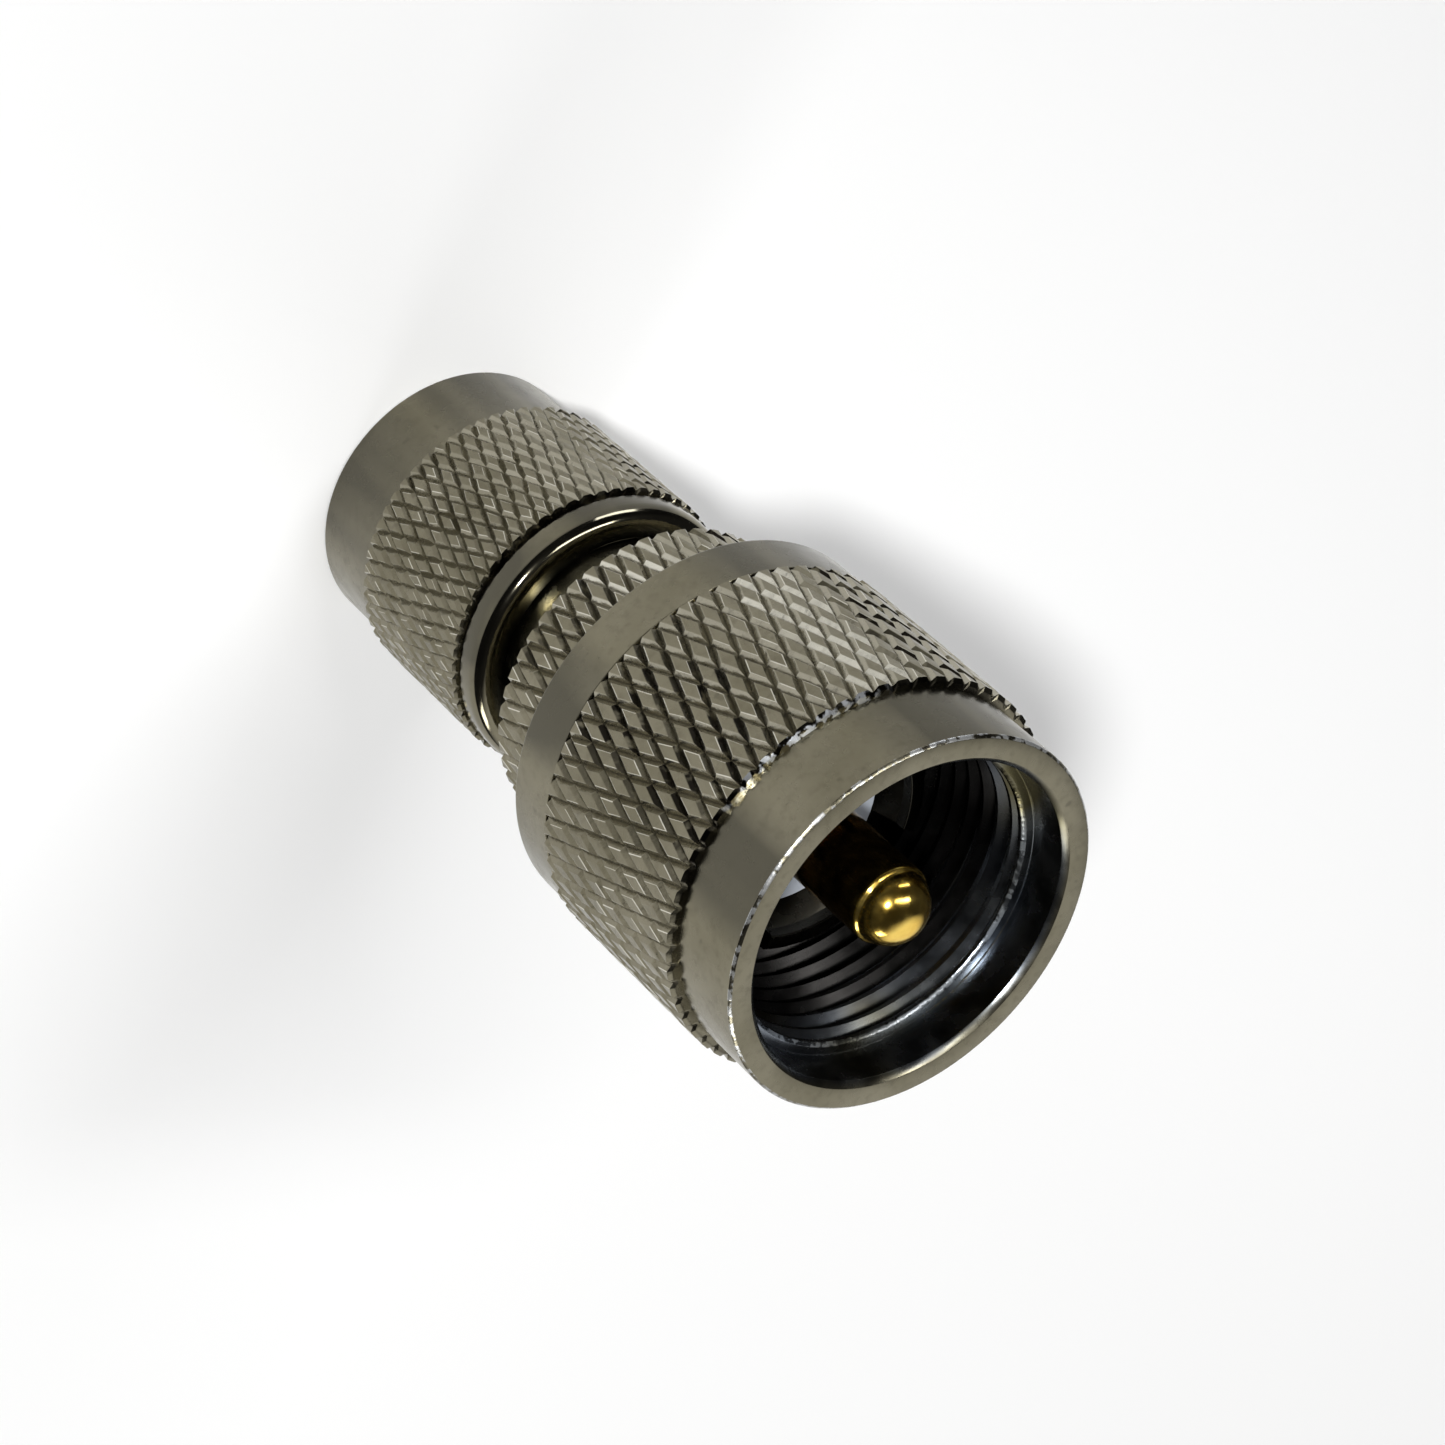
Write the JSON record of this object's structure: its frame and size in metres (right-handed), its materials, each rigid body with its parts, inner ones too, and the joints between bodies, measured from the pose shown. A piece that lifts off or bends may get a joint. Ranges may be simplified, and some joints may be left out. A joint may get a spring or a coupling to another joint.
{
  "type": "uhf connector",
  "caption": "Straight coaxial adapter: large screw-on plug with domed centre pin at one end, small screw-on plug at the other, both with knurled coupling nuts.",
  "frame": {"origin": "centre of the flat mouth face of the small coupling nut, on which the part stands", "axes": "+Z along the common axis, out of the mouth of the large coupling nut; +X and +Y across it"},
  "size_m": [0.0198, 0.0198, 0.0386],
  "materials": {
    "nickel_plate": "semi-bright nickel plate over brass, lightly worn on the edges",
    "gold_plate": "polished gold plate over brass",
    "ptfe": "smooth milky plastic",
    "spring_bronze": "bare spring bronze",
    "silicone_rubber": "soft matt"
  },
  "bodies": {
    "main": {"uhf_plug_body": "nickel_plate", "uhf_insulator": "ptfe", "uhf_centre_pin": "gold_plate", "tnc_plug_body": "nickel_plate", "tnc_insulator": "ptfe", "tnc_centre_pin": "gold_plate", "tnc_gasket": "silicone_rubber"},
    "uhf_ring": {"uhf_retaining_ring": "spring_bronze"},
    "uhf_nut": {"uhf_coupling_nut": "nickel_plate"},
    "tnc_ring": {"tnc_retaining_ring": "spring_bronze"},
    "tnc_nut": {"tnc_coupling_nut": "nickel_plate"}
  },
  "joints": [
    {"name": "uhf_nut_slide", "type": "slide", "parent": "main", "child": "uhf_ring", "axis": [0, 0, 1], "range_m": [0, 0.0008]},
    {"name": "uhf_nut_spin", "type": "hinge", "parent": "uhf_ring", "child": "uhf_nut", "pos_m": [0, 0, 0.03], "axis": [0, 0, 1], "continuous": true},
    {"name": "tnc_nut_slide", "type": "slide", "parent": "main", "child": "tnc_ring", "axis": [0, 0, -1], "range_m": [0, 0.0004]},
    {"name": "tnc_nut_spin", "type": "hinge", "parent": "tnc_ring", "child": "tnc_nut", "pos_m": [0, 0, 0.007], "axis": [0, 0, 1], "continuous": true}
  ]
}
